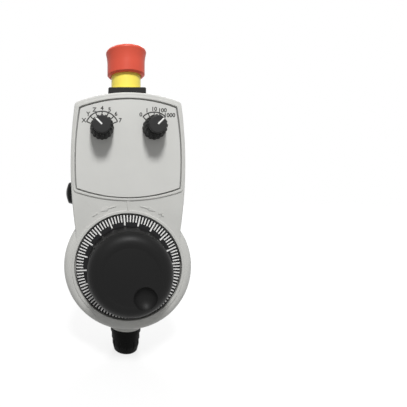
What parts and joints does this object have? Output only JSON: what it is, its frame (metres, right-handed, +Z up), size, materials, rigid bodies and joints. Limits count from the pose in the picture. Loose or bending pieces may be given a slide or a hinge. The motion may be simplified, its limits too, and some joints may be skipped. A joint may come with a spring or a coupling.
{
  "type": "hand-held pulse generator handwheel",
  "caption": "Hand-held control for jogging a machine's axes: dial wheel with finger dimple, two selector knobs, emergency stop, side button, magnet back.",
  "frame": {"origin": "centre of the outer face of the magnet on the back", "axes": "+Y out of the back along the magnet's axis, +Z up from the cable gland to the emergency stop, +X to the right seen from the front"},
  "size_m": [0.1014, 0.0725, 0.2518],
  "materials": {
    "housing_plastic": "fine moulded grain",
    "panel_foil": "printed matte foil",
    "dial_plate": "satin black with white divisions",
    "wheel_plastic": "semi-gloss moulded",
    "knob_plastic": "satin moulded",
    "cap_plastic": "satin moulded with a white line",
    "stop_red": "gloss moulded",
    "stop_yellow": "gloss moulded",
    "stop_black": "satin moulded",
    "button_plastic": "gloss moulded",
    "gland_plastic": "satin moulded",
    "seal_rubber": "matt",
    "magnet_rubber": "matt",
    "magnet_steel": "zinc plated",
    "steel": "plain bright",
    "brass": "machined",
    "aluminium": "machined",
    "inner_plastic": "moulded",
    "board_laminate": "solder-masked",
    "terminal_green": "moulded",
    "magnet_ferrite": "ground"
  },
  "bodies": {
    "housing": {"front_shell": "housing_plastic", "rear_shell": "housing_plastic", "housing_seal": "seal_rubber", "housing_screws": "steel", "screw_inserts": "brass", "front_panel": "panel_foil", "shaft_bush": "brass", "encoder_housing": "aluminium", "encoder_screws": "steel", "detent_stator": "magnet_ferrite", "light_sensor": "inner_plastic", "encoder_cover": "inner_plastic", "encoder_socket": "inner_plastic", "estop_seal": "seal_rubber", "estop_base": "stop_black", "estop_sleeve": "stop_yellow", "estop_spring": "steel", "estop_nut": "inner_plastic", "estop_contact_block": "inner_plastic", "button_bezel": "button_plastic", "button_nut": "steel", "button_switch": "inner_plastic", "magnet_core": "magnet_steel", "magnet_cover": "magnet_rubber", "magnet_screw": "steel", "circuit_board": "board_laminate", "board_screws": "steel", "terminal_block": "terminal_green", "gland_body": "gland_plastic", "gland_nut": "gland_plastic", "gland_insert": "seal_rubber", "axis_switch_body": "inner_plastic", "axis_switch_washer": "steel", "axis_switch_nut": "brass", "step_switch_body": "inner_plastic", "step_switch_washer": "steel", "step_switch_nut": "brass"},
    "handwheel": {"dial_ring": "dial_plate", "wheel_drum": "wheel_plastic", "wheel_hub": "aluminium", "hub_screws": "steel", "encoder_shaft": "steel", "shaft_ring": "steel", "detent_rotor": "magnet_ferrite", "disc_hub": "aluminium", "code_disc": "steel"},
    "axis_selector": {"axis_switch_shaft": "aluminium", "axis_knob_body": "knob_plastic", "axis_knob_collet": "brass", "axis_knob_cap": "cap_plastic"},
    "step_selector": {"step_switch_shaft": "aluminium", "step_knob_body": "knob_plastic", "step_knob_collet": "brass", "step_knob_cap": "cap_plastic"},
    "estop_plunger": {"estop_stem": "inner_plastic"},
    "estop_turning_head": {"estop_head": "stop_red"},
    "side_button": {"button_cap": "button_plastic"}
  },
  "joints": [
    {"name": "dial_turn", "type": "hinge", "parent": "housing", "child": "handwheel", "pos_m": [0, -0.0445, -0.052], "axis": [0, 1, 0], "continuous": true},
    {"name": "axis_select", "type": "hinge", "parent": "housing", "child": "axis_selector", "pos_m": [-0.02, -0.0445, 0.0547], "axis": [0, 1, 0], "range_deg": [-22.5, 112.5]},
    {"name": "step_select", "type": "hinge", "parent": "housing", "child": "step_selector", "pos_m": [0.02, -0.0445, 0.0547], "axis": [0, 1, 0], "range_deg": [-90, 0]},
    {"name": "stop_push", "type": "slide", "parent": "housing", "child": "estop_plunger", "axis": [0, 0, -1], "range_m": [0, 0.0045], "stiffness_N_per_m": 1500, "springref_m": -0.008, "deforming": ["estop_spring"]},
    {"name": "stop_twist", "type": "hinge", "parent": "estop_plunger", "child": "estop_turning_head", "pos_m": [0, -0.0225, 0.1], "axis": [0, 0, -1], "range_deg": [0, 45], "stiffness_Nm_per_rad": 0.1, "springref_deg": -11.46},
    {"name": "button_push", "type": "slide", "parent": "housing", "child": "side_button", "axis": [1, 0, 0], "range_m": [0, 0.002], "stiffness_N_per_m": 800, "springref_m": -0.003}
  ]
}
